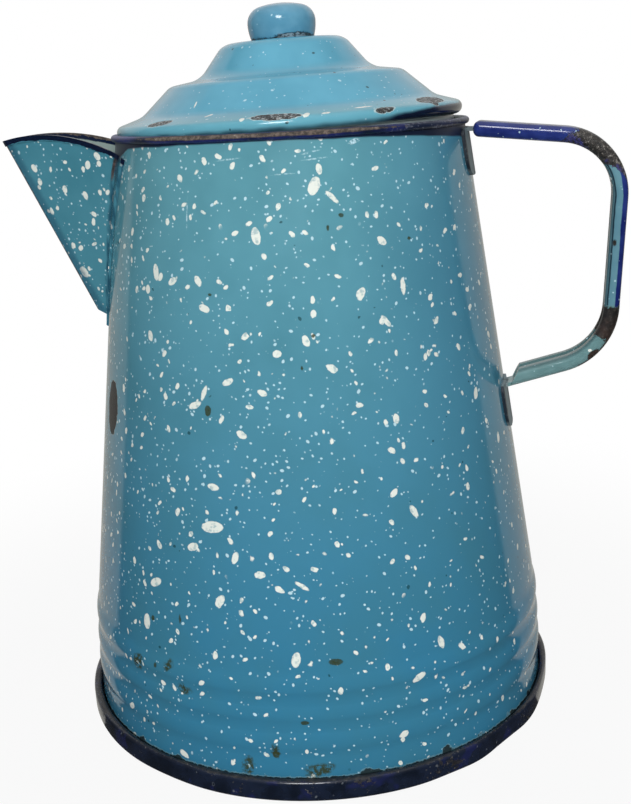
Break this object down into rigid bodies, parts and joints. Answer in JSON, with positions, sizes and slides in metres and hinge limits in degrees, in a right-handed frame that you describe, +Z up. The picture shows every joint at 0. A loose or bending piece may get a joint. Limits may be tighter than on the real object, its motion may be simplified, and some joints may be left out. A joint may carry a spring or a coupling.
{
  "type": "coffee pot",
  "caption": "Tapered enamelled sheet-steel coffee pot with a folded V spout, a channel-section strap handle, a ribbed foot and a loose stepped lid with a bun knob.",
  "frame": {"origin": "on the axis of the pot, in the plane of the underside of its flat base", "axes": "+Z up along the axis of the pot; the spout points along -X, and the handle lies 13 degrees from +X towards -Y"},
  "size_m": [0.2157, 0.18, 0.254],
  "materials": {
    "body_enamel": "glossy vitreous enamel, teal blue with white speckles",
    "foot_enamel": "glossy vitreous enamel, near-black navy, worn",
    "spout_enamel": "glossy vitreous enamel, teal blue with white speckles and a navy lip",
    "handle_enamel": "glossy vitreous enamel, blue, worn to dark iron at the bends",
    "lid_enamel": "glossy vitreous enamel, sky blue with fine speckles and chips",
    "collar_enamel": "glossy vitreous enamel, pale grey",
    "knob_enamel": "glossy vitreous enamel, blue",
    "rivet_steel": "dull steel"
  },
  "bodies": {
    "pot": {"pot_body": "body_enamel", "base_plate": "foot_enamel", "spout": "spout_enamel", "handle": "handle_enamel"},
    "lid": {"lid_shell": "lid_enamel", "lid_collar": "collar_enamel", "lid_knob": "knob_enamel", "knob_base": "collar_enamel", "knob_rivet": "rivet_steel"}
  },
  "joints": [
    {"name": "lid_lift", "type": "slide", "parent": "pot", "child": "lid", "axis": [0, 0, 1], "range_m": [0, 0.1]}
  ]
}
